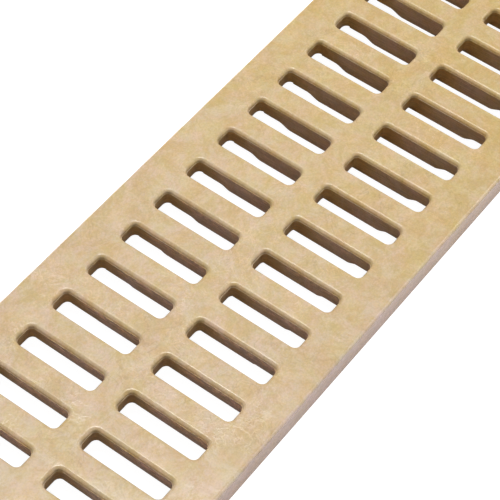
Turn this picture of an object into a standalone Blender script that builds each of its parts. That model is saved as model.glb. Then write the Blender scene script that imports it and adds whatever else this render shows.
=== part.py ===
"""Channel drain grate: one plastic moulding with two columns of transverse slots.

The grate lies along X. Its upper face looks up along +Z, and the origin is at the middle of its
base. All lengths are in metres.
"""

import math

import bmesh
import bpy

LENGTH = 0.6096
WIDTH = 0.1048
CORNER_RADIUS = 0.0030
TOP_EDGE_RADIUS = 0.0013
BASE_EDGE_RADIUS = 0.0005

PLATE_THICKNESS = 0.0073
BAR_DROP = 0.0004
BELLY_DROP = 0.0022
SKIRT_THICKNESS = 0.0045

SLOT_WIDTH = 0.00845
SLOT_CORNER_RADIUS = 0.0021
SLOT_LIP_RADIUS = 0.0014
SLOT_DRAFT = math.radians(4.2)
BAR_WIDTH = 0.01005
MIDDLE_RIB_WIDTH = 0.0098
SIDE_MARGIN = 0.0143
END_MARGIN = 0.0138

BAR_END_INSET = 0.0019
BELLY_OFFSET = 0.0015
SHOULDER_INSET = 0.0048
SHOULDER_WIDTH = 0.0060
BELLY_FLAT_LENGTH = 0.0555
BELLY_END_INSET = 0.0888

CORNER_STEPS = 3
LIP_STEPS = 2
SHOULDER_STEPS = 5
BELLY_STEPS = 6
CUTTER_OVERRUN = 0.0020
OVERLAP = 0.0010

SAND = (0.66, 0.50, 0.30, 1.0)
SAND_ROUGHNESS = 0.5

HEIGHT = PLATE_THICKNESS + BAR_DROP + BELLY_DROP
PLATE_UNDERSIDE = HEIGHT - PLATE_THICKNESS
SLOT_PITCH = SLOT_WIDTH + BAR_WIDTH
ROW_COUNT = int((LENGTH - 2 * END_MARGIN + BAR_WIDTH) / SLOT_PITCH)
SLOT_INNER_END = MIDDLE_RIB_WIDTH / 2
SLOT_OUTER_END = WIDTH / 2 - SIDE_MARGIN
SLOT_LENGTH = SLOT_OUTER_END - SLOT_INNER_END
COLUMN_OFFSET = (SLOT_OUTER_END + SLOT_INNER_END) / 2
WALL_TOP = HEIGHT - SLOT_LIP_RADIUS
SHOULDER_END = SLOT_OUTER_END - BELLY_OFFSET - SHOULDER_INSET
SHOULDER_START = SHOULDER_END - SHOULDER_WIDTH
BELLY_HALF_LENGTH = LENGTH / 2 - BELLY_END_INSET


def clear_scene():
    """Removes what the scene holds, so the model starts from nothing."""
    for old in list(bpy.data.objects):
        bpy.data.objects.remove(old, do_unlink=True)


def rounded_outline(half_x, half_y, radius, centre):
    """Points of a rounded rectangle, counter-clockwise seen from above."""
    points = []
    for quarter, (side_x, side_y) in enumerate(((1, 1), (-1, 1), (-1, -1), (1, -1))):
        arc_x = centre[0] + side_x * (half_x - radius)
        arc_y = centre[1] + side_y * (half_y - radius)
        for step in range(CORNER_STEPS + 1):
            angle = math.pi / 2 * (quarter + step / CORNER_STEPS)
            points.append((arc_x + radius * math.cos(angle), arc_y + radius * math.sin(angle)))
    return points


def add_ring_stack(mesh, half_x, half_y, radius, levels, centre=(0.0, 0.0)):
    """Adds a closed solid from rounded rectangles that each stand at a height and an offset.

    The levels run upwards. Each is a height and how far its outline lies outside the basic one.
    """
    rings = []
    for height, offset in levels:
        outline = rounded_outline(half_x + offset, half_y + offset, radius + offset, centre)
        rings.append([mesh.verts.new((x, y, height)) for x, y in outline])
    for lower, upper in zip(rings, rings[1:]):
        for index, start in enumerate(lower):
            following = (index + 1) % len(lower)
            mesh.faces.new((start, lower[following], upper[following], upper[index]))
    mesh.faces.new(list(reversed(rings[0])))
    mesh.faces.new(rings[-1])


def new_object(name, mesh):
    """Makes an object of a bmesh and links it to the scene."""
    data = bpy.data.meshes.new(name)
    mesh.normal_update()
    mesh.to_mesh(data)
    mesh.free()
    made = bpy.data.objects.new(name, data)
    bpy.context.scene.collection.objects.link(made)
    return made


def quarter_round(radius, steps):
    """Steps of a quarter circle, each a rise and a run from its lower end, which is upright."""
    angles = [math.pi / 2 * step / steps for step in range(steps + 1)]
    return [(radius * math.sin(angle), radius * (1 - math.cos(angle))) for angle in angles]


def build_blank():
    """The moulding's outer form: upright sides, a rounded upper edge and an eased lower edge."""
    levels = [(0.0, -BASE_EDGE_RADIUS), (BASE_EDGE_RADIUS, 0.0)]
    edge_start = HEIGHT - TOP_EDGE_RADIUS
    levels += [(edge_start + rise, -run) for rise, run in quarter_round(TOP_EDGE_RADIUS, LIP_STEPS)]
    mesh = bmesh.new()
    add_ring_stack(mesh, LENGTH / 2, WIDTH / 2, CORNER_RADIUS, levels)
    return new_object("grate", mesh)


def build_underside_recess():
    """Cutter for the hollow inside the skirt, up to the underside of the plate."""
    mesh = bmesh.new()
    levels = [(-CUTTER_OVERRUN, 0.0), (PLATE_UNDERSIDE, 0.0)]
    inner_x = LENGTH / 2 - SKIRT_THICKNESS
    inner_y = WIDTH / 2 - SKIRT_THICKNESS
    add_ring_stack(mesh, inner_x, inner_y, CORNER_RADIUS, levels)
    return new_object("recess_cutter", mesh)


def slot_rows():
    """Places of the slot rows along X."""
    return [(row - (ROW_COUNT - 1) / 2) * SLOT_PITCH for row in range(ROW_COUNT)]


def draft_spread(height):
    """How much further out a slot's wall stands at a height than at the wall's top."""
    return (WALL_TOP - height) * math.tan(SLOT_DRAFT)


def slot_levels():
    """Levels of a slot from below the base to above the lip, widening downwards by the draft."""
    levels = [(-CUTTER_OVERRUN, draft_spread(-CUTTER_OVERRUN))]
    levels += [(WALL_TOP + rise, run) for rise, run in quarter_round(SLOT_LIP_RADIUS, LIP_STEPS)]
    levels.append((HEIGHT + CUTTER_OVERRUN, SLOT_LIP_RADIUS))
    return levels


def build_slot_cutter():
    """One cutter that holds every slot of both columns."""
    mesh = bmesh.new()
    for place in slot_rows():
        for side in (-1, 1):
            centre = (place, side * COLUMN_OFFSET)
            add_ring_stack(mesh, SLOT_WIDTH / 2, SLOT_LENGTH / 2, SLOT_CORNER_RADIUS,
                           slot_levels(), centre)
    return new_object("slot_cutter", mesh)


def belly_drop_at(place):
    """How far the belly hangs below the bars at a place along X: flat, then down a parabola."""
    taper = BELLY_HALF_LENGTH - BELLY_FLAT_LENGTH / 2
    reach = min(1.0, max(0.0, (abs(place) - BELLY_FLAT_LENGTH / 2) / taper))
    return BELLY_DROP * (1 - reach * reach)


def shoulder_share(across, drop):
    """Share of the belly's drop across the grate: a smooth step from 1 inside to 0 outside.

    The belly's middle lies off the middle line. A shallower belly has a narrower shoulder, so
    the shoulder is equally steep all along.
    """
    width = max(SHOULDER_WIDTH * drop / BELLY_DROP, OVERLAP / 10)
    share = (SHOULDER_START + width - abs(across + BELLY_OFFSET)) / width
    share = min(1.0, max(0.0, share))
    return share * share * (3 - 2 * share)


def bar_stations():
    """Places of the bar block's cross lines along X and of its long lines across Y."""
    taper = BELLY_HALF_LENGTH - BELLY_FLAT_LENGTH / 2
    half_along = [BELLY_FLAT_LENGTH / 2 + taper * step / BELLY_STEPS
                  for step in range(BELLY_STEPS + 1)]
    half_along.append(ROW_COUNT * SLOT_PITCH / 2)
    along = [-place for place in reversed(half_along)] + half_along
    shoulder = [SHOULDER_START + SHOULDER_WIDTH * step / SHOULDER_STEPS
                for step in range(SHOULDER_STEPS + 1)]
    across = [-BELLY_OFFSET - place for place in reversed(shoulder)]
    across += [-BELLY_OFFSET + place for place in shoulder]
    end = SLOT_OUTER_END - BAR_END_INSET
    return along, [-end] + across + [end]


def build_bars():
    """The bars' lower part, one block under the plate that the slots then divide into bars."""
    along, across = bar_stations()
    bar_base = PLATE_UNDERSIDE - BAR_DROP
    mesh = bmesh.new()
    lower = []
    upper = []
    for x in along:
        drop = belly_drop_at(x)
        lower.append([mesh.verts.new((x, y, bar_base - drop * shoulder_share(y, drop)))
                      for y in across])
        upper.append([mesh.verts.new((x, y, PLATE_UNDERSIDE + OVERLAP)) for y in across])
    for grid, flipped in ((lower, True), (upper, False)):
        for near, far in zip(grid, grid[1:]):
            for index in range(len(across) - 1):
                corners = [near[index], far[index], far[index + 1], near[index + 1]]
                if flipped:
                    corners.reverse()
                mesh.faces.new(corners)
    add_side_walls(mesh, lower, upper)
    return new_object("bar_block", mesh)


def add_side_walls(mesh, lower, upper):
    """Closes two grids of the same size with walls along their four borders."""
    borders = [(lower[0], upper[0], True), (lower[-1], upper[-1], False)]
    borders.append(([row[0] for row in lower], [row[0] for row in upper], False))
    borders.append(([row[-1] for row in lower], [row[-1] for row in upper], True))
    for base, top, flipped in borders:
        for index in range(len(base) - 1):
            corners = [base[index], base[index + 1], top[index + 1], top[index]]
            if flipped:
                corners.reverse()
            mesh.faces.new(corners)


def build_rib_relief():
    """Cutter below the middle rib, so that between the bars the rib keeps the plate's thickness."""
    half_y = SLOT_INNER_END + SLOT_CORNER_RADIUS
    mesh = bmesh.new()
    for place in slot_rows():
        corners = []
        for height in (-CUTTER_OVERRUN, PLATE_UNDERSIDE):
            half_x = SLOT_WIDTH / 2 + draft_spread(height)
            ring = [(half_x, -half_y), (half_x, half_y), (-half_x, half_y), (-half_x, -half_y)]
            corners.append([mesh.verts.new((place + x, y, height)) for x, y in ring])
        lower, upper = corners
        for index in range(4):
            following = (index + 1) % 4
            mesh.faces.new((lower[index], lower[following], upper[following], upper[index]))
        mesh.faces.new(list(reversed(lower)))
        mesh.faces.new(upper)
    return new_object("rib_relief_cutter", mesh)


def add_boolean(target, tool, operation):
    """Adds an exact Boolean modifier and hides its tool from the model."""
    modifier = target.modifiers.new(tool.name, "BOOLEAN")
    modifier.operation = operation
    modifier.solver = "EXACT"
    modifier.object = tool
    tool.hide_render = True
    tool.display_type = "WIRE"


def sand_plastic():
    """The moulding's sand-coloured polyethylene."""
    material = bpy.data.materials.new("sand_plastic")
    material.use_nodes = True
    shader = material.node_tree.nodes["Principled BSDF"]
    shader.inputs["Base Color"].default_value = SAND
    shader.inputs["Roughness"].default_value = SAND_ROUGHNESS
    shader.inputs["Metallic"].default_value = 0.0
    return material


def build_grate():
    """The whole moulding."""
    grate = build_blank()
    add_boolean(grate, build_underside_recess(), "DIFFERENCE")
    add_boolean(grate, build_bars(), "UNION")
    add_boolean(grate, build_rib_relief(), "DIFFERENCE")
    add_boolean(grate, build_slot_cutter(), "DIFFERENCE")
    grate.data.materials.append(sand_plastic())
    return grate


clear_scene()
build_grate()
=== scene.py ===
"""Looks of a channel drain grate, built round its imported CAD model.

The grate lies along X with its walking face up. Lengths are in metres, in the CAD's own frame.
"""

import logging
import math
from collections.abc import Callable, Iterator
from contextlib import contextmanager
from dataclasses import dataclass, field
from enum import Enum
from functools import partial, reduce

import bmesh
import bpy
from mathutils import Matrix, Quaternion, Vector


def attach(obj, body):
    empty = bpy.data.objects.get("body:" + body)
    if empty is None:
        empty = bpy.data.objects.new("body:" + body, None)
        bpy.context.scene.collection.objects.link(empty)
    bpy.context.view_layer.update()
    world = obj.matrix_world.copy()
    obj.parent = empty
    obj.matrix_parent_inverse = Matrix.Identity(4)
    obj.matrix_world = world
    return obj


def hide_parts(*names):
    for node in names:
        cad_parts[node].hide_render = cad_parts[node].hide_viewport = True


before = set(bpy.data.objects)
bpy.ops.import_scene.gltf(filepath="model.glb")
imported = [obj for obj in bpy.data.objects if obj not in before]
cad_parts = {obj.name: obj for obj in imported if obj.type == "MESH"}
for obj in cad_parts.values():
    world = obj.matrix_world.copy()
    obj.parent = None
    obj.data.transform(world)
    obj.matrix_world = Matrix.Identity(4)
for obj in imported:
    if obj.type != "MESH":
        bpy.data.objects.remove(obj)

log = logging.getLogger("channel_grate")

# How far apart two places may lie and still count as one.
CLOSE = 1e-6
LOOSE = 2e-5
# How far up or down a level face points at the least, and an upright one at the most.
LEVEL_NORMAL = 0.9
UPRIGHT_NORMAL = 0.5
NOISE_MEAN = 0.5

Band = tuple[float, float]
Point = tuple[float, float, float]
Colour = tuple[float, float, float, float]
Piece = bpy.types.Object
Face = bmesh.types.BMFace
Edge = bmesh.types.BMEdge
Socket = bpy.types.NodeSocket
Value = Socket | float
Shade = Socket | Colour
VertexTest = Callable[[bmesh.types.BMVert], bool]
ElementTest = Callable[[Face | Edge], bool]


class Axis(Enum):
    """An axis of the grate."""

    ALONG = 0
    ACROSS = 1
    UP = 2


class End(Enum):
    """An end of the grate, by the sign of X there."""

    LOW = -1
    HIGH = 1


class Element(Enum):
    """A kind of mesh element, by the name of its select mode."""

    FACE = "FACE"
    EDGE = "EDGE"


def near(value: float, place: float, reach: float = CLOSE) -> bool:
    """Says whether a value lies at a place."""
    return abs(value - place) < reach


def activate(piece: Piece) -> None:
    """Makes a piece the only selected object and the active one.

    Args:
        piece: The object to work on next.
    """
    bpy.ops.object.select_all(action="DESELECT")
    piece.select_set(True)
    bpy.context.view_layer.objects.active = piece


@contextmanager
def editing(piece: Piece) -> Iterator[None]:
    """Opens one piece in edit mode, and closes it again.

    Args:
        piece: The mesh object to edit.
    """
    activate(piece)
    bpy.ops.object.mode_set(mode="EDIT")
    yield
    bpy.ops.object.mode_set(mode="OBJECT")


def pick(piece: Piece, kind: Element, test: ElementTest) -> None:
    """Selects the faces or edges of the edited piece that pass a test, and no others.

    Args:
        piece: The piece in edit mode.
        kind: Whether faces or edges are looked at.
        test: Says of each one whether it is wanted.
    """
    bpy.ops.mesh.select_mode(type=kind.value)
    bpy.ops.mesh.select_all(action="DESELECT")
    mesh = bmesh.from_edit_mesh(piece.data)
    for element in mesh.faces if kind is Element.FACE else mesh.edges:
        if test(element):
            element.select_set(True)
    bmesh.update_edit_mesh(piece.data)


def pick_open_edges(piece: Piece, test: VertexTest) -> None:
    """Selects the open edges of the edited piece whose two vertices pass a test."""
    pick(piece, Element.EDGE, lambda edge: edge.is_boundary and all(map(test, edge.verts)))


def extrude_to(axis: Axis, place: float) -> None:
    """Extrudes the selected edges and lays the new ones flat in a plane square to an axis.

    Args:
        axis: The axis that the plane is square to.
        place: Where on that axis the plane stands.
    """
    bpy.ops.mesh.extrude_region_move()
    scale = [1.0, 1.0, 1.0]
    scale[axis.value] = 0.0
    centre = [0.0, 0.0, 0.0]
    centre[axis.value] = place
    bpy.ops.transform.resize(value=scale, center_override=centre)


def extrude_down(depth: float) -> None:
    """Extrudes the selected faces straight down."""
    bpy.ops.mesh.extrude_region_move(TRANSFORM_OT_translate={"value": (0.0, 0.0, -depth)})


def round_edges(radius: float, segments: int) -> None:
    """Rounds the selected edges."""
    bpy.ops.mesh.bevel(offset=radius, segments=segments, affect="EDGES", clamp_overlap=False)


def apply_modifier(piece: Piece, name: str, kind: str, **settings: object) -> None:
    """Adds a modifier to a piece and applies it.

    Args:
        piece: The mesh object to change.
        name: What the modifier is called.
        kind: Its type in Blender.
        settings: The values of its properties.
    """
    modifier = piece.modifiers.new(name, kind)
    for key, value in settings.items():
        setattr(modifier, key, value)
    activate(piece)
    bpy.ops.object.modifier_apply(modifier=name)


def facing(place: Point, target: Point) -> Quaternion:
    """Turn of a lamp or a camera that looks from a place at a target."""
    return (Vector(target) - Vector(place)).to_track_quat("-Z", "Y")


@dataclass(frozen=True)
class GrateSizes:
    """Sizes of the moulding, as the CAD has them."""

    length: float = 0.6096
    width: float = 0.1048
    height: float = 0.0099
    plate_thickness: float = 0.0073
    skirt_thickness: float = 0.0045
    corner_radius: float = 0.0030
    top_edge_radius: float = 0.0013
    base_edge_radius: float = 0.0005
    slot_width: float = 0.00845
    slot_corner_radius: float = 0.0021
    slot_lip_radius: float = 0.0014
    slot_draft: float = math.radians(4.2)
    slot_pitch: float = 0.0185
    row_count: int = 32
    middle_rib_width: float = 0.0098
    side_margin: float = 0.0143
    bar_drop: float = 0.0004
    belly_drop: float = 0.0022
    belly_offset: float = 0.0015
    shoulder_start: float = 0.0258
    shoulder_width: float = 0.0060
    belly_flat_half: float = 0.02775
    belly_half: float = 0.2160
    belly_foot: float = 0.16

    @property
    def underside(self) -> float:
        """Height of the plate's underside."""
        return self.height - self.plate_thickness

    @property
    def slot_inner(self) -> float:
        """Where a slot ends beside the middle rib."""
        return self.middle_rib_width / 2

    @property
    def slot_outer(self) -> float:
        """Where a slot ends beside the side margin."""
        return self.width / 2 - self.side_margin

    @property
    def slot_length(self) -> float:
        """Length of a slot between its walls, at their top."""
        return self.slot_outer - self.slot_inner

    @property
    def column_offset(self) -> float:
        """Distance of a column of slots from the middle line."""
        return (self.slot_outer + self.slot_inner) / 2

    @property
    def wall_top(self) -> float:
        """Height at which a slot's wall meets its rounded lip."""
        return self.height - self.slot_lip_radius

    @property
    def rows_half(self) -> float:
        """Half of the length that the rows of slots take up."""
        return self.row_count * self.slot_pitch / 2

    @property
    def recess_half_width(self) -> float:
        """Half of the hollow's width inside the skirt."""
        return self.width / 2 - self.skirt_thickness

    @property
    def recess_half_length(self) -> float:
        """Half of the hollow's length inside the skirt."""
        return self.length / 2 - self.skirt_thickness

    def spread(self, height: float) -> float:
        """How much further out a slot's wall stands at a height than at the wall's top."""
        return (self.wall_top - height) * math.tan(self.slot_draft)

    def belly_share(self, along: float, across: float) -> float:
        """Share of the belly's full drop at a place on the grate.

        Args:
            along: The place along X.
            across: The place along Y.

        Returns:
            A share from 0, level with the bars at the ends, to 1, the deepest.
        """
        reach = (abs(along) - self.belly_flat_half) / (self.belly_half - self.belly_flat_half)
        reach = min(1.0, max(0.0, reach))
        drop = 1.0 - reach * reach
        width = max(self.shoulder_width * drop, CLOSE)
        step = (self.shoulder_start + width - abs(across + self.belly_offset)) / width
        step = min(1.0, max(0.0, step))
        foot = self.belly_foot if across > 0.0 else 0.0
        return drop * (foot + (1.0 - foot) * step * step * (3 - 2 * step))


@dataclass
class SlotRow:
    """One row of the grate: a slot on each side of the middle rib, with half a bar at each flank.

    The half row is modelled first, from the slot's mouth outwards, then mirrored across the rib.
    """

    sizes: GrateSizes
    corner_segments: int = 6
    lip_segments: int = 5
    shoulder_cuts: int = 9
    plain_cuts: tuple[float, ...] = (0.0105, 0.0145, 0.0190)
    ridge_reach: float = 0.00010
    ridge_height: float = 0.00022
    ridge_fall: float = 0.000055
    wall_levels: tuple[float, ...] = (0.0068, 0.0048)
    piece: Piece | None = field(default=None, init=False)

    def build(self) -> Piece:
        """Models the row.

        Returns:
            The row, centred on the origin, open where its neighbours join it.
        """
        sizes = self.sizes
        self.start_mouth()
        self.sink_lip()
        self.sink_walls()
        self.spread_face(sizes.height, sizes.slot_lip_radius, sizes.width / 2)
        self.spread_face(sizes.underside, sizes.spread(sizes.underside), sizes.recess_half_width)
        self.close_skirt()
        self.mirror()
        return self.piece

    def start_mouth(self) -> None:
        """Starts from the slot's outline at the walking face, with rounded corners, cut across."""
        sizes = self.sizes
        bpy.ops.object.select_all(action="DESELECT")
        place = (0.0, sizes.column_offset, sizes.height)
        bpy.ops.mesh.primitive_plane_add(size=1.0, location=place)
        self.piece = bpy.context.active_object
        self.piece.name = "slot_row"
        bpy.ops.object.transform_apply(location=True, rotation=False, scale=False)
        lip = sizes.slot_lip_radius
        stretch = (sizes.slot_width + 2 * lip, sizes.slot_length + 2 * lip, 1.0)
        with editing(self.piece):
            bpy.ops.mesh.select_all(action="SELECT")
            bpy.ops.transform.resize(value=stretch, center_override=place)
            bpy.ops.mesh.bevel(offset=sizes.slot_corner_radius + lip, affect="VERTICES",
                               segments=self.corner_segments, offset_type="OFFSET")
            for cut in self.cross_cuts():
                bpy.ops.mesh.select_all(action="SELECT")
                bpy.ops.mesh.bisect(plane_co=(0.0, cut, 0.0), plane_no=(0.0, 1.0, 0.0))

    def cross_cuts(self) -> list[float]:
        """Lists the cuts across a slot, which are close together at the belly's shoulder.

        Returns:
            The places across the grate where the slot's long sides get a vertex.
        """
        sizes = self.sizes
        first = sizes.shoulder_start - sizes.belly_offset
        span = sizes.shoulder_width + 2 * sizes.belly_offset
        steps = range(self.shoulder_cuts + 1)
        return list(self.plain_cuts) + [first + span * step / self.shoulder_cuts for step in steps]

    def sink_lip(self) -> None:
        """Insets the mouth step by step down the rounded lip, then round the parting ridge."""
        radius = self.sizes.slot_lip_radius
        turns = [math.pi / 2 * step / self.lip_segments for step in range(self.lip_segments + 1)]
        with editing(self.piece):
            bpy.ops.mesh.select_all(action="SELECT")
            for start, stop in zip(turns, turns[1:]):
                run = radius * (math.sin(stop) - math.sin(start))
                fall = radius * (math.cos(start) - math.cos(stop))
                bpy.ops.mesh.inset(thickness=run, depth=-fall, use_boundary=True)
            bpy.ops.mesh.inset(thickness=self.ridge_reach, depth=-self.ridge_fall,
                               use_boundary=True)

    def sink_walls(self) -> None:
        """Extrudes the slot down through the plate, wider by the draft at each level."""
        sizes = self.sizes
        height = sizes.wall_top - self.ridge_fall
        reach = -self.ridge_reach
        levels = (sizes.wall_top - self.ridge_height, *self.wall_levels, sizes.underside)
        with editing(self.piece):
            pick(self.piece, Element.FACE,
                 lambda face: near(face.calc_center_median().z, height))
            for level in levels:
                self.sink_to(height, level, reach, sizes.spread(level))
                height, reach = level, sizes.spread(level)
            bpy.ops.mesh.delete(type="FACE")

    def sink_to(self, start: float, stop: float, reach: float, spread: float) -> None:
        """Extrudes the selected floor of the slot down to a level and widens it there.

        Args:
            start: Height of the selected faces.
            stop: Height to reach.
            reach: How far the outline stands outside the slot's basic one at the start.
            spread: How far it stands outside that at the level reached.
        """
        sizes = self.sizes
        extrude_down(start - stop)
        widen = (sizes.slot_width + 2 * spread) / (sizes.slot_width + 2 * reach)
        lengthen = (sizes.slot_length + 2 * spread) / (sizes.slot_length + 2 * reach)
        bpy.ops.transform.resize(value=(widen, lengthen, 1.0),
                                 center_override=(0.0, sizes.column_offset, stop))

    def spread_face(self, height: float, reach: float, edge: float) -> None:
        """Spreads a flat face from the slot's rim at one height to the row's borders.

        Args:
            height: Height of the rim.
            reach: How far the rim stands outside the slot's basic outline.
            edge: Where the face ends across the grate.
        """
        sizes = self.sizes
        flank = sizes.slot_width / 2 + reach
        straight = sizes.slot_length / 2 - sizes.slot_corner_radius
        with editing(self.piece):
            for side, target in ((-1, 0.0), (1, edge)):
                self.pick_rim(height, lambda vert: side * (vert.co.y - sizes.column_offset)
                              > straight - LOOSE)
                extrude_to(Axis.ACROSS, target)
            for side in (-1, 1):
                self.pick_rim(height, lambda vert: near(vert.co.x, side * flank, LOOSE))
                extrude_to(Axis.ALONG, side * sizes.slot_pitch / 2)

    def pick_rim(self, height: float, test: VertexTest) -> None:
        """Selects the open edges at a height whose two vertices pass a test."""
        pick_open_edges(self.piece, lambda vert: near(vert.co.z, height) and test(vert))

    def close_skirt(self) -> None:
        """Brings the underside down inside the skirt and under it, and bridges the outer side."""
        sizes = self.sizes
        outer = sizes.width / 2
        with editing(self.piece):
            self.pick_rim(sizes.underside, lambda vert: near(vert.co.y, sizes.recess_half_width))
            extrude_to(Axis.UP, 0.0)
            extrude_to(Axis.ACROSS, outer)
            pick_open_edges(self.piece, lambda vert: near(vert.co.y, outer))
            bpy.ops.mesh.bridge_edge_loops()

    def mirror(self) -> None:
        """Mirrors the half row across the middle rib."""
        apply_modifier(self.piece, "other_half", "MIRROR", use_axis=(False, True, False),
                       use_mirror_merge=True, merge_threshold=CLOSE)


@dataclass
class GrateMoulding:
    """The whole moulding: its rows, end lands, bars with their belly, and rounded outer edges."""

    sizes: GrateSizes
    row: SlotRow
    bar_edge_radius: float = 0.0003
    bar_edge_segments: int = 2
    lean_from: float = 0.023
    lean_rise: float = 0.00038
    corner_segments: int = 5
    top_edge_segments: int = 4
    base_edge_segments: int = 2
    smooth_angle: float = math.radians(40)
    piece: Piece | None = field(default=None, init=False)

    def build(self) -> Piece:
        """Models the moulding.

        Returns:
            The finished mesh object, at the origin.
        """
        self.piece = self.row.build()
        self.piece.name = "grate_moulding"
        self.repeat_rows()
        for end in End:
            self.close_end(end)
        self.drop_bars()
        self.hang_belly()
        self.lean_bars()
        self.round_outside()
        self.shade()
        return self.piece

    def repeat_rows(self) -> None:
        """Repeats the row along the grate and merges the seams."""
        sizes = self.sizes
        with editing(self.piece):
            bpy.ops.mesh.select_all(action="SELECT")
            start = -(sizes.row_count - 1) / 2 * sizes.slot_pitch
            bpy.ops.transform.translate(value=(start, 0.0, 0.0))
        apply_modifier(self.piece, "rows", "ARRAY", count=sizes.row_count,
                       use_relative_offset=False, use_constant_offset=True,
                       constant_offset_displace=(sizes.slot_pitch, 0.0, 0.0),
                       use_merge_vertices=True, merge_threshold=CLOSE)

    def close_end(self, end: End) -> None:
        """Extrudes the open end over the end land and closes it with the end of the skirt.

        Args:
            end: Which end of the grate.
        """
        sizes = self.sizes
        side = end.value
        inner = side * sizes.recess_half_length
        with editing(self.piece):
            self.pick_open_end(side * sizes.rows_half)
            extrude_to(Axis.ALONG, inner)
            pick_open_edges(self.piece, lambda vert: near(vert.co.x, inner)
                            and near(vert.co.z, sizes.underside))
            extrude_to(Axis.UP, 0.0)
            bpy.ops.mesh.select_all(action="SELECT")
            bpy.ops.mesh.remove_doubles(threshold=CLOSE)
            self.pick_open_end(inner)
            extrude_to(Axis.ALONG, side * sizes.length / 2)
            bpy.ops.mesh.edge_face_add()

    def pick_open_end(self, place: float) -> None:
        """Selects the open edges that stand at a place along the grate."""
        pick_open_edges(self.piece, lambda vert: near(vert.co.x, place, LOOSE))

    def drop_bars(self) -> None:
        """Extrudes the bars down from the plate's underside and rounds their lower edges."""
        drop = self.sizes.bar_drop
        base = self.sizes.underside - drop
        with editing(self.piece):
            pick(self.piece, Element.FACE, self.is_bar_face)
            extrude_down(drop)
            pick(self.piece, Element.EDGE, lambda edge: self.is_bar_rim(edge, base))
            round_edges(self.bar_edge_radius, self.bar_edge_segments)

    def is_bar_face(self, face: Face) -> bool:
        """Says whether a face is the plate's underside along a bar.

        Args:
            face: A face of the edited mesh.

        Returns:
            True for a flat underside face of a bar, between the slots' outer corners.
        """
        sizes = self.sizes
        centre = face.calc_center_median()
        if face.normal.z > -LEVEL_NORMAL or not near(centre.z, sizes.underside):
            return False
        in_row = (centre.x + sizes.rows_half) % sizes.slot_pitch - sizes.slot_pitch / 2
        flank = sizes.slot_width / 2 + sizes.spread(sizes.underside)
        in_reach = abs(centre.y) < sizes.slot_outer - sizes.slot_corner_radius
        return abs(centre.x) < sizes.rows_half and abs(in_row) > flank and in_reach

    @staticmethod
    def is_bar_rim(edge: Edge, base: float) -> bool:
        """Says whether an edge bounds a bar's lower face.

        Args:
            edge: An edge of the edited mesh.
            base: Height of the bars' lower faces.

        Returns:
            True where one of its faces is level and the other upright.
        """
        if not all(near(vert.co.z, base) for vert in edge.verts) or len(edge.link_faces) != 2:
            return False
        steep = sorted(abs(face.normal.z) for face in edge.link_faces)
        return steep[0] < UPRIGHT_NORMAL < steep[1]

    def hang_belly(self) -> None:
        """Lets the bars hang deeper under the middle of the grate."""
        sizes = self.sizes
        self.shift_bars("belly", -sizes.belly_drop,
                        lambda place: sizes.belly_share(place.x, place.y))

    def lean_bars(self) -> None:
        """Lifts the bars' lower faces a little, the more the further they lie towards -Y."""
        sizes = self.sizes
        span = self.lean_from + sizes.slot_outer
        self.shift_bars("lean", self.lean_rise, lambda place: (self.lean_from - place.y) / span
                        * min(1.0, (sizes.underside - place.z) / sizes.bar_drop))

    def shift_bars(self, name: str, rise: float, share_at: Callable[[Vector], float]) -> None:
        """Moves the bars up or down below the plate, by a weighted displacement.

        Args:
            name: What the weights and the displacement are called.
            rise: How far up a vertex moves whose share is 1.
            share_at: Gives the share at a vertex's place.
        """
        sizes = self.sizes
        group = self.piece.vertex_groups.new(name=name)
        for vertex in self.piece.data.vertices:
            if vertex.co.z < sizes.underside - LOOSE and abs(vertex.co.y) < sizes.slot_outer:
                share = share_at(vertex.co)
                if share > 0.0:
                    group.add([vertex.index], min(1.0, share), "REPLACE")
        apply_modifier(self.piece, name, "DISPLACE", direction="Z", vertex_group=group.name,
                       mid_level=0.0, strength=rise)

    def round_outside(self) -> None:
        """Rounds the upright corners, then the upper and lower outer edges."""
        sizes = self.sizes
        half = (sizes.length / 2, sizes.width / 2)
        with editing(self.piece):
            pick(self.piece, Element.EDGE, lambda edge: all(
                near(abs(vert.co.x), half[0]) and near(abs(vert.co.y), half[1])
                for vert in edge.verts))
            round_edges(sizes.corner_radius, self.corner_segments)
            for height, radius, segments in (
                (sizes.height, sizes.top_edge_radius, self.top_edge_segments),
                (0.0, sizes.base_edge_radius, self.base_edge_segments),
            ):
                pick(self.piece, Element.EDGE, lambda edge: self.is_outer_edge(edge, height))
                round_edges(radius, segments)

    def is_outer_edge(self, edge: Edge, height: float) -> bool:
        """Says whether an edge runs round the outside of the grate at a height.

        Args:
            edge: An edge of the edited mesh.
            height: The height to look at.

        Returns:
            True where a level face meets the upright outside.
        """
        if len(edge.link_faces) != 2 or not all(near(vert.co.z, height) for vert in edge.verts):
            return False
        upright = [face for face in edge.link_faces if abs(face.normal.z) < UPRIGHT_NORMAL]
        if len(upright) != 1:
            return False
        sizes = self.sizes
        middle = (edge.verts[0].co + edge.verts[1].co) / 2
        outwards = Vector((middle.x / sizes.length, middle.y / sizes.width, 0.0))
        past_recess = (abs(middle.x) > sizes.recess_half_length + LOOSE
                       or abs(middle.y) > sizes.recess_half_width + LOOSE)
        return past_recess and upright[0].normal.dot(outwards) > 0.0

    def shade(self) -> None:
        """Shades the mesh smooth up to an angle, with normals that keep the flat faces flat."""
        activate(self.piece)
        bpy.ops.object.shade_smooth_by_angle(angle=self.smooth_angle)
        apply_modifier(self.piece, "flat_faces", "WEIGHTED_NORMAL", mode="FACE_AREA",
                       keep_sharp=True)


@dataclass(frozen=True)
class Pattern:
    """A noise pattern, and the band of its values over which it comes in.

    The scale counts its cells along one metre, detail counts its finer layers, and fineness says
    how strong each of them is beside the last. A stretch scales the place along each axis first.
    """

    scale: float
    detail: float
    distortion: float = 0.0
    fineness: float = 0.5
    band: Band = (0.0, 1.0)
    stretch: Point | None = None


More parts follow.
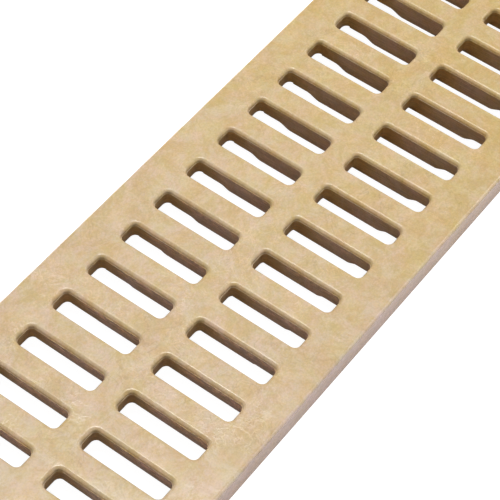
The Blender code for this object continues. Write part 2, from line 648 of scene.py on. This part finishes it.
@dataclass(frozen=True)
class NodeBench:
    """Adds nodes to one tree and joins them, so that a finish reads as a list of steps."""

    tree: bpy.types.NodeTree

    def feed(self, socket: Socket, value: Value | Colour) -> None:
        """Links a socket, or sets its own value.

        Args:
            socket: The input to feed.
            value: Another socket, a number or a colour.
        """
        if isinstance(value, Socket):
            self.tree.links.new(value, socket)
        else:
            socket.default_value = value

    def join(self, operation: str, *values: Value) -> Socket:
        """Adds a Math node.

        Args:
            operation: What it works out.
            values: A socket or a number for each input.

        Returns:
            The node's result.
        """
        node = self.tree.nodes.new("ShaderNodeMath")
        node.operation = operation
        for socket, value in zip(node.inputs, values):
            self.feed(socket, value)
        return node.outputs[0]

    def product(self, *values: Value) -> Socket:
        """Multiplies two or more values."""
        return reduce(partial(self.join, "MULTIPLY"), values)

    def total(self, *values: Value) -> Socket:
        """Adds up two or more values."""
        return reduce(partial(self.join, "ADD"), values)

    def step(self, value: Value, band: Band) -> Socket:
        """Adds a smooth step from 0 at a band's first value to 1 at its second.

        Args:
            value: What to look at.
            band: Where it starts and stops, upwards or down.

        Returns:
            A share from 0 to 1.
        """
        node = self.tree.nodes.new("ShaderNodeMapRange")
        node.interpolation_type = "SMOOTHSTEP"
        self.feed(node.inputs["Value"], value)
        node.inputs["From Min"].default_value = band[0]
        node.inputs["From Max"].default_value = band[1]
        return node.outputs["Result"]

    def turn(self, value: Value, start: float, period: float) -> Socket:
        """Says how far a value has come since a pattern that repeats last began, from 0 to 1."""
        return self.join("FRACT", self.join("DIVIDE", self.join("SUBTRACT", value, start), period))

    def place(self) -> Socket:
        """Adds the place on the piece, in metres."""
        return self.tree.nodes.new("ShaderNodeTexCoord").outputs["Object"]

    def levelness(self) -> Socket:
        """Says how level the surface lies: 1 where it is flat, 0 where it is upright."""
        normal = self.tree.nodes.new("ShaderNodeTexCoord").outputs["Normal"]
        return self.join("ABSOLUTE", self.split(normal)[2])

    def split(self, vector: Socket) -> list[Socket]:
        """Splits a place into its three parts.

        Args:
            vector: The place.

        Returns:
            Its parts along X, Y and Z.
        """
        node = self.tree.nodes.new("ShaderNodeSeparateXYZ")
        self.feed(node.inputs[0], vector)
        return list(node.outputs)

    def noise(self, vector: Socket, pattern: Pattern) -> Socket:
        """Adds a noise pattern.

        Args:
            vector: The place to read it at.
            pattern: Its scale, layers and stretch.

        Returns:
            The pattern's value, about 0.5 in the mean.
        """
        if pattern.stretch is not None:
            mapping = self.tree.nodes.new("ShaderNodeMapping")
            self.feed(mapping.inputs["Vector"], vector)
            mapping.inputs["Scale"].default_value = pattern.stretch
            vector = mapping.outputs[0]
        node = self.tree.nodes.new("ShaderNodeTexNoise")
        self.feed(node.inputs["Vector"], vector)
        node.inputs["Scale"].default_value = pattern.scale
        node.inputs["Detail"].default_value = pattern.detail
        node.inputs["Distortion"].default_value = pattern.distortion
        node.inputs["Roughness"].default_value = pattern.fineness
        return node.outputs["Fac"]

    def patches(self, vector: Socket, pattern: Pattern) -> Socket:
        """Adds a noise pattern as patches, which come in over its band."""
        return self.step(self.noise(vector, pattern), pattern.band)

    def lines(self, vector: Socket, pattern: Pattern) -> Socket:
        """Adds thin winding lines, where a noise pattern passes its mean.

        Args:
            vector: The place to read it at.
            pattern: The pattern, whose band says how far from the mean a line comes in.

        Returns:
            A share, 1 along the middle of a line.
        """
        off_mean = self.join("SUBTRACT", self.noise(vector, pattern), NOISE_MEAN)
        return self.step(self.join("ABSOLUTE", off_mean), pattern.band)

    def blend(self, share: Value, first: Shade, second: Shade, kind: str = "MIX") -> Socket:
        """Adds a colour mix.

        Args:
            share: How much of the second colour there is.
            first: The colour at share 0.
            second: The colour at share 1, or what the first is multiplied by.
            kind: How the two are mixed.

        Returns:
            The mixed colour.
        """
        node = self.tree.nodes.new("ShaderNodeMix")
        node.data_type = "RGBA"
        node.blend_type = kind
        self.feed(node.inputs["Factor"], share)
        self.feed(node.inputs[6], first)
        self.feed(node.inputs[7], second)
        return node.outputs[2]

    def tint(self, share: Value, colour: Shade, gain: Shade) -> Socket:
        """Multiplies a colour by a gain, as far as a share says."""
        return self.blend(share, colour, gain, "MULTIPLY")


@dataclass(frozen=True)
class Spot:
    """A bench, with sockets that say where a point of the moulding's surface lies.

    Slots is 1 within the field of slots. Turn runs from 0 at a slot's one end wall to 0.77 at
    the other, and on to 1 over the rib.
    """

    bench: NodeBench
    place: Socket
    along: Socket
    height: Socket
    slots: Socket
    turn: Socket


@dataclass(frozen=True)
class SandPolyethylene:
    """Satin sand-coloured polyethylene, with flow marks and streaked walls, and with painted
    light: paler slot lips, a cool reflection on the walls, and highlights along the outer edge and
    the parting crest.

    A band runs from where its feature is missing to where it is full: heights where its name says
    top or foot, places along the grate or shares of a turn elsewhere.
    """

    sizes: GrateSizes
    field_reach: tuple[float, float] = (0.2930, 0.0399)
    field_fade: float = 0.0004
    warm: Colour = (0.641, 0.461, 0.218, 1.0)
    # Towards -X the colour turns cool: partly the moulding's own tone, partly a painted sheen.
    cool_tone_and_sheen: Colour = (0.637, 0.468, 0.268, 1.0)
    cool_and_sheen_along: Band = (-0.05, -0.20)
    patches: Pattern = Pattern(110.0, 5.0, 0.4, 0.75, (0.34, 0.66))
    yellow_patch: Colour = (1.006, 1.004, 0.895, 1.0)
    blue_patch: Colour = (0.994, 0.996, 1.105, 1.0)
    blushes: Pattern = Pattern(150.0, 4.0, 0.4, 0.75, (0.36, 0.64))
    green_blush: Colour = (0.979, 1.021, 1.000, 1.0)
    rosy_blush: Colour = (1.021, 0.979, 1.000, 1.0)
    clouds: Pattern = Pattern(95.0, 5.0, 0.4, 0.88, (0.36, 0.64))
    dark_cloud: Colour = (0.936, 0.902, 0.755, 1.0)
    pale_cloud: Colour = (1.064, 1.098, 1.245, 1.0)
    grain: Pattern = Pattern(1300.0, 2.0, band=(0.40, 0.60))
    grain_dark: Colour = (0.930, 0.930, 0.930, 1.0)
    wide_swirls: Pattern = Pattern(80.0, 2.0, 2.0, band=(0.024, 0.0))
    narrow_swirls: Pattern = Pattern(190.0, 2.0, 1.5, band=(0.032, 0.0))
    swirl_places: Pattern = Pattern(60.0, 3.0, band=(0.42, 0.66))
    swirl_gain: Colour = (1.100, 1.108, 1.150, 1.0)
    creases: Pattern = Pattern(130.0, 2.5, 1.8, band=(0.030, 0.0))
    crease_places: Pattern = Pattern(45.0, 3.0, band=(0.44, 0.66))
    crease_dark: Colour = (0.870, 0.850, 0.820, 1.0)
    wall_top: Band = (0.0087, 0.0079)
    wall_levelness: Band = (0.8, 0.5)
    # The walls' paler, bluer tint is a painted cool reflection; the olive towards one end is
    # painted shade where that reflection is cut off.
    wall_reflection_tint: Colour = (1.110, 1.040, 1.310, 1.0)
    olive_shade_turn: Band = (0.46, 0.70)
    olive_shade_tint: Colour = (1.050, 0.880, 0.520, 1.0)
    wall_streaks: Pattern = Pattern(1.0, 3.0, band=(0.42, 0.62), stretch=(90.0, 90.0, 2300.0))
    streak_dark: Colour = (0.800, 0.790, 0.780, 1.0)
    # The lips' gains are painted light: paler on the far lips, darker on the near ones, and weaker
    # on the end lips.
    lip_top: Band = (0.00993, 0.00925)
    lip_foot: Band = (0.0080, 0.0086)
    lip_start_turn: Band = (0.02, 0.06)
    lip_stop_turn: Band = (0.745, 0.705)
    end_lip_share: float = 0.35
    far_lip_turn: Band = (0.44, 0.56)
    near_lip_shade: Colour = (0.860, 0.890, 1.000, 1.0)
    far_lip_light: Colour = (1.480, 1.490, 1.540, 1.0)
    # Paler patches on the upper walls, which grow towards -X.
    pale_wall_tops: Pattern = Pattern(1.0, 4.0, 0.0, 0.75, (0.42, 0.64), (330.0, 330.0, 1000.0))
    paler_along: Band = (-0.09, -0.21)
    paler_turn: Band = (0.72, 0.52)
    paler_top: Band = (0.0092, 0.0082)
    paler_foot: Band = (0.0035, 0.0072)
    paler_gain: Colour = (1.950, 1.930, 1.850, 1.0)
    # A painted highlight along the broken parting crest.
    crest_top: Band = (0.00862, 0.00850)
    crest_foot: Band = (0.00828, 0.00840)
    crest_places: Pattern = Pattern(75.0, 3.0, band=(0.50, 0.60))
    crest_highlight_colour: Colour = (0.860, 0.700, 0.470, 1.0)
    # A painted highlight along the rounded top edge of the outer sides; the sides below get a
    # darker tint.
    edge_top: Band = (0.00990, 0.00972)
    edge_foot: Band = (0.0083, 0.0090)
    edge_highlight_gain: Colour = (1.220, 1.290, 1.550, 1.0)
    side_top: Band = (0.0090, 0.0083)
    side_tint: Colour = (0.940, 0.815, 0.770, 1.0)
    side_streaks: Pattern = Pattern(1.0, 4.0, 0.0, 0.8, (0.40, 0.58), (380.0, 380.0, 900.0))
    side_dark: Colour = (0.800, 0.780, 0.820, 1.0)
    face_roughness: float = 0.20
    lip_roughness: float = 0.28
    wall_roughness: float = 0.42
    swirl_roughness: float = 0.08
    roughness_swing: float = 0.10
    uneven_gloss: Pattern = Pattern(260.0, 3.0)
    dull_top: Band = (0.00990, 0.00983)
    specular_level: float = 0.33
    waves: Pattern = Pattern(140.0, 3.0, 0.8)
    pores: Pattern = Pattern(1500.0, 2.0)
    pore_height: float = 0.10
    swirl_height: float = -0.20
    grooves: Pattern = Pattern(1.0, 3.0, stretch=(110.0, 110.0, 1900.0))
    groove_height: float = 0.6
    bump_strength: float = 0.30
    bump_distance: float = 0.00020

    def make(self) -> bpy.types.Material:
        """Makes the material.

        Returns:
            The node-based material.
        """
        material = bpy.data.materials.new("sand_polyethylene")
        material.use_nodes = True
        bench = NodeBench(material.node_tree)
        shader = material.node_tree.nodes["Principled BSDF"]
        shader.inputs["Specular IOR Level"].default_value = self.specular_level
        spot = self.locate(bench)
        walls = bench.product(spot.slots, bench.step(spot.height, self.wall_top))
        swirls = self.swirl_share(spot)
        colour = self.face_colour(spot, swirls)
        colour = self.wall_colour(spot, colour, walls)
        colour = self.lip_colour(spot, colour)
        colour = self.side_colour(spot, colour)
        bench.feed(shader.inputs["Base Color"], colour)
        bench.feed(shader.inputs["Roughness"], self.roughness(spot, walls, swirls))
        bench.feed(shader.inputs["Normal"], self.relief(spot, walls, swirls))
        return material

    def locate(self, bench: NodeBench) -> Spot:
        """Finds where the surface lies.

        Args:
            bench: The bench to add nodes with.

        Returns:
            The place and what is worked out from it.
        """
        place = bench.place()
        along, across, height = bench.split(place)
        inside = [bench.step(bench.join("ABSOLUTE", value), (reach + self.field_fade, reach))
                  for value, reach in zip((along, across), self.field_reach)]
        turn = bench.turn(across, -self.sizes.slot_outer, 2 * self.sizes.column_offset)
        return Spot(bench, place, along, height, bench.product(*inside), turn)

    def swirl_share(self, spot: Spot) -> Socket:
        """Adds thin winding pale flow marks, which come and go over the face.

        Args:
            spot: Where the surface lies.

        Returns:
            A share, 1 along the middle of a mark.
        """
        bench = spot.bench
        wide = bench.lines(spot.place, self.wide_swirls)
        narrow = bench.lines(spot.place, self.narrow_swirls)
        return bench.product(bench.join("MAXIMUM", wide, narrow),
                             bench.patches(spot.place, self.swirl_places))

    def face_colour(self, spot: Spot, swirls: Socket) -> Socket:
        """Adds the plastic's colour, with a slow drift to paler and bluer at -X that is partly its
        tone and partly a painted sheen, its patches and its marks.

        Args:
            spot: Where the surface lies.
            swirls: Share of the flow marks.

        Returns:
            The colour of the whole surface before the slots and sides are tinted.
        """
        bench = spot.bench
        # Painted sheen, in part: the colour turns paler and bluer towards -X.
        colour = bench.blend(bench.step(spot.along, self.cool_and_sheen_along), self.warm, self.cool_tone_and_sheen)
        for pattern, low, high in (
            (self.patches, self.yellow_patch, self.blue_patch),
            (self.blushes, self.green_blush, self.rosy_blush),
            (self.clouds, self.dark_cloud, self.pale_cloud),
        ):
            tone = bench.blend(bench.patches(spot.place, pattern), low, high)
            colour = bench.tint(1.0, colour, tone)
        colour = bench.tint(bench.patches(spot.place, self.grain), colour, self.grain_dark)
        colour = bench.tint(swirls, colour, self.swirl_gain)
        creases = bench.product(bench.lines(spot.place, self.creases),
                                bench.patches(spot.place, self.crease_places))
        return bench.tint(creases, colour, self.crease_dark)

    def wall_colour(self, spot: Spot, colour: Socket, walls: Socket) -> Socket:
        """Adds the slot walls' tint, a painted cool reflection, which turns olive towards one end
        as painted shade, and their streaks.

        Args:
            spot: Where the surface lies.
            colour: The colour so far.
            walls: Share of the walls' height.

        Returns:
            The colour with the walls.
        """
        bench = spot.bench
        walls = bench.product(walls, bench.step(bench.levelness(), self.wall_levelness))
        # Painted reflection on the walls, turning to painted shade (olive) towards one end.
        olive_shade = bench.step(spot.turn, self.olive_shade_turn)
        colour = bench.tint(walls, colour, bench.blend(olive_shade, self.wall_reflection_tint, self.olive_shade_tint))
        streaks = bench.product(walls, bench.patches(spot.place, self.wall_streaks))
        return bench.tint(streaks, colour, self.streak_dark)

    def lip_colour(self, spot: Spot, colour: Socket) -> Socket:
        """Adds painted light on the slots' lips, paler on the far side and darker on the near one,
        paler patches on the upper walls that grow towards one end, and a painted highlight along a
        broken crest.

        Args:
            spot: Where the surface lies.
            colour: The colour so far.

        Returns:
            The colour with the lips' painted light, the paler patches and the crest's painted
            highlight.
        """
        bench = spot.bench
        # Painted light on the lips: paler on the far side, darker on the near side.
        far = bench.step(bench.turn(spot.along, 0.0, self.sizes.slot_pitch), self.far_lip_turn)
        sides = bench.product(bench.step(spot.turn, self.lip_start_turn),
                              bench.step(spot.turn, self.lip_stop_turn))
        lit_lip_share = bench.join("MULTIPLY_ADD", sides, 1.0 - self.end_lip_share, self.end_lip_share)
        lips = bench.product(spot.slots, lit_lip_share, bench.step(spot.height, self.lip_top),
                             bench.step(spot.height, self.lip_foot))
        gain = bench.blend(far, self.near_lip_shade, self.far_lip_light)
        colour = bench.tint(lips, colour, gain)
        # The upper walls grow paler in patches towards -X.
        pale_wall_tops = bench.product(spot.slots, bench.step(spot.along, self.paler_along),
                               bench.step(spot.turn, self.paler_turn),
                               bench.step(spot.height, self.paler_top),
                               bench.step(spot.height, self.paler_foot),
                               bench.patches(spot.place, self.pale_wall_tops))
        colour = bench.tint(pale_wall_tops, colour, self.paler_gain)
        # Painted highlight on the parting crest.
        crest_highlight = bench.product(spot.slots, bench.step(spot.height, self.crest_foot),
                              bench.step(spot.height, self.crest_top),
                              bench.patches(spot.place, self.crest_places))
        return bench.blend(crest_highlight, colour, self.crest_highlight_colour)

    def side_colour(self, spot: Spot, colour: Socket) -> Socket:
        """Adds the outer sides' darker tint and lengthwise streaks, and a painted highlight along
        the rounded edge above them.

        Args:
            spot: Where the surface lies.
            colour: The colour so far.

        Returns:
            The colour with the outer sides and edges.
        """
        bench = spot.bench
        outside = bench.join("SUBTRACT", 1.0, spot.slots)
        # Painted highlight along the rounded outer edge.
        edge = bench.product(outside, bench.step(spot.height, self.edge_top),
                             bench.step(spot.height, self.edge_foot))
        colour = bench.tint(edge, colour, self.edge_highlight_gain)
        side = bench.product(outside, bench.step(spot.height, self.side_top))
        colour = bench.tint(side, colour, self.side_tint)
        streaks = bench.product(side, bench.patches(spot.place, self.side_streaks))
        return bench.tint(streaks, colour, self.side_dark)

    def roughness(self, spot: Spot, walls: Socket, swirls: Socket) -> Socket:
        """Adds the roughness: satin on the face, duller on the lips, the walls and the marks.

        Args:
            spot: Where the surface lies.
            walls: Share of the walls' height.
            swirls: Share of the flow marks.

        Returns:
            The roughness.
        """
        bench = spot.bench
        swing = self.roughness_swing
        uneven = bench.join("MULTIPLY_ADD", bench.noise(spot.place, self.uneven_gloss), swing,
                            self.face_roughness - swing / 2)
        lips = bench.product(spot.slots, bench.step(spot.height, self.dull_top),
                             self.lip_roughness - self.face_roughness)
        dull = bench.product(walls, self.wall_roughness - self.lip_roughness)
        marks = bench.product(swirls, self.swirl_roughness)
        return bench.total(uneven, lips, dull, marks)

    def relief(self, spot: Spot, walls: Socket, swirls: Socket) -> Socket:
        """Adds the fine relief: a slow waviness, pores, the flow marks and the walls' grooves.

        Args:
            spot: Where the surface lies.
            walls: Share of the walls' height.
            swirls: Share of the flow marks.

        Returns:
            The bumped normal.
        """
        bench = spot.bench
        height = bench.total(
            bench.noise(spot.place, self.waves),
            bench.product(bench.noise(spot.place, self.pores), self.pore_height),
            bench.product(swirls, self.swirl_height),
            bench.product(walls, bench.noise(spot.place, self.grooves), self.groove_height))
        node = bench.tree.nodes.new("ShaderNodeBump")
        node.inputs["Strength"].default_value = self.bump_strength
        node.inputs["Distance"].default_value = self.bump_distance
        bench.feed(node.inputs["Height"], height)
        return node.outputs[0]


@dataclass(frozen=True)
class PaleStage:
    """A pale floor and sky, which are white where they are seen.

    Under the grate the floor has a darker patch, a painted shadow, so that little light comes back
    up into the slots.
    """

    floor_size: float = 12.0
    floor_drop: float = 0.0002
    floor_colour: Colour = (0.80, 0.76, 0.84, 1.0)
    # A painted shadow: the floor is dark under the grate, both for light and for reflections.
    shadow_patch_colour: Colour = (0.20, 0.20, 0.20, 1.0)
    shadow_patch_half: tuple[float, float] = (0.300, 0.048)
    seen_strength: float = 0.975
    mirrored_share: float = 0.8
    shadow_patch_mirrored_share: float = 0.25
    sky_colour: Colour = (1.0, 1.0, 1.0, 1.0)
    sky_strength: float = 0.14

    def build(self) -> Piece:
        """Makes the floor and the world.

        Returns:
            The floor object.
        """
        bpy.ops.object.select_all(action="DESELECT")
        bpy.ops.mesh.primitive_plane_add(size=self.floor_size, location=(0, 0, -self.floor_drop))
        floor = bpy.context.active_object
        floor.name = "pale_floor"
        bpy.ops.object.transform_apply(location=True, rotation=False, scale=False)
        floor.data.materials.append(self.floor_material())
        self.light_world()
        return floor

    @staticmethod
    def seen_share(bench: NodeBench, mirrored: Value) -> Socket:
        """Says how far a ray shows the background instead of lighting the object.

        Args:
            bench: The bench to add nodes with.
            mirrored: What a ray that was reflected by a glossy surface counts.

        Returns:
            A share, 1 for a ray from the camera or through glass, and 0 for plain light.
        """
        path = bench.tree.nodes.new("ShaderNodeLightPath").outputs
        straight = bench.join("MAXIMUM", path["Is Camera Ray"], path["Is Transmission Ray"])
        return bench.join("MAXIMUM", straight, bench.product(path["Is Glossy Ray"], mirrored))

    def shadow_patch_share(self, bench: NodeBench) -> Socket:
        """Says where the floor's painted shadow patch lies, under the grate.

        Args:
            bench: The bench to add nodes with.

        Returns:
            1 under the grate and 0 elsewhere.
        """
        return bench.product(*(
            bench.join("LESS_THAN", bench.join("ABSOLUTE", value), half)
            for value, half in zip(bench.split(bench.place()), self.shadow_patch_half)))

    def floor_material(self) -> bpy.types.Material:
        """Makes the floor's material: pale and lit, with a painted shadow patch under the grate,
        and white where the camera sees it.

        Returns:
            The node-based material.
        """
        material = bpy.data.materials.new("pale_floor")
        material.use_nodes = True
        nodes = material.node_tree.nodes
        nodes.clear()
        bench = NodeBench(material.node_tree)
        # Painted shadow patch under the grate.
        shadow_patch = self.shadow_patch_share(bench)
        matte = nodes.new("ShaderNodeBsdfDiffuse")
        bench.feed(matte.inputs["Color"], bench.blend(shadow_patch, self.floor_colour, self.shadow_patch_colour))
        mirrored = bench.join("MULTIPLY_ADD", shadow_patch, self.shadow_patch_mirrored_share - self.mirrored_share,
                              self.mirrored_share)
        glow = nodes.new("ShaderNodeEmission")
        glow.inputs["Color"].default_value = self.sky_colour
        bench.feed(glow.inputs["Strength"],
                   bench.product(self.seen_share(bench, mirrored), self.seen_strength))
        both = nodes.new("ShaderNodeAddShader")
        bench.feed(both.inputs[0], matte.outputs[0])
        bench.feed(both.inputs[1], glow.outputs[0])
        out = nodes.new("ShaderNodeOutputMaterial")
        bench.feed(out.inputs["Surface"], both.outputs[0])
        return material

    def light_world(self) -> None:
        """Gives the world its plain light, and white where it is seen."""
        world = bpy.data.worlds.new("plain_sky")
        bpy.context.scene.world = world
        world.use_nodes = True
        bench = NodeBench(world.node_tree)
        back = world.node_tree.nodes["Background"]
        back.inputs["Color"].default_value = self.sky_colour
        strength = bench.join("MULTIPLY_ADD", self.seen_share(bench, 1.0),
                              1.0 - self.sky_strength, self.sky_strength)
        bench.feed(back.inputs["Strength"], strength)


@dataclass(frozen=True)
class SoftLamp:
    """A square area lamp that faces a point on the grate."""

    name: str
    place: Point
    size: float
    power: float
    target: Point = (-0.12, 0.0, 0.0)

    def build(self) -> None:
        """Hangs the lamp."""
        data = bpy.data.lights.new(self.name, "AREA")
        data.shape = "SQUARE"
        data.size = self.size
        data.energy = self.power
        lamp = bpy.data.objects.new(self.name, data)
        bpy.context.scene.collection.objects.link(lamp)
        lamp.location = self.place
        lamp.rotation_euler = facing(self.place, self.target).to_euler()


LAMPS = (
    SoftLamp("overhead", place=(0.647, 0.883, 3.825), size=1.0, power=113.0),
    SoftLamp("panel", place=(1.828, 1.415, 3.195), size=0.8, power=3.4),
    SoftLamp("behind", place=(2.760, -1.048, 2.571), size=1.2, power=50.0),
)


@dataclass(frozen=True)
class PhotoCamera:
    """The camera at the photograph's place, found from the slots and the long edges."""

    place: Point = (-0.507315, -0.23797, 0.56394)
    target: Point = (-0.159845, -0.00045, 0.0099)
    roll: float = math.radians(3.135)
    sensor: float = 36.0
    lens: float = 144.92
    shift: tuple[float, float] = (0.01517, 0.01011)
    clip: tuple[float, float] = (0.05, 100.0)

    def build(self) -> None:
        """Sets up the camera and makes it the scene's own."""
        data = bpy.data.cameras.new("photo_camera")
        data.sensor_width = self.sensor
        data.lens = self.lens
        data.shift_x, data.shift_y = self.shift
        data.clip_start, data.clip_end = self.clip
        camera = bpy.data.objects.new("photo_camera", data)
        bpy.context.scene.collection.objects.link(camera)
        camera.location = self.place
        aim = facing(self.place, self.target).to_matrix().to_4x4()
        camera.rotation_euler = (aim @ Matrix.Rotation(self.roll, 4, "Z")).to_euler()
        bpy.context.scene.camera = camera


def main() -> None:
    """Builds the scene and logs the moulding's face count."""
    logging.basicConfig(level=logging.INFO, format="%(name)s: %(message)s")
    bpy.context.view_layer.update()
    bpy.context.scene.view_settings.view_transform = "Standard"
    PhotoCamera().build()

    sizes = GrateSizes()
    moulding = GrateMoulding(sizes, SlotRow(sizes)).build()
    moulding.data.materials.append(SandPolyethylene(sizes).make())
    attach(moulding, "root")
    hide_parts("grate")
    log.info("%s: %d faces", moulding.name, len(moulding.data.polygons))

    floor = PaleStage().build()
    for lamp in LAMPS:
        lamp.build()


if __name__ == "__main__":
    main()
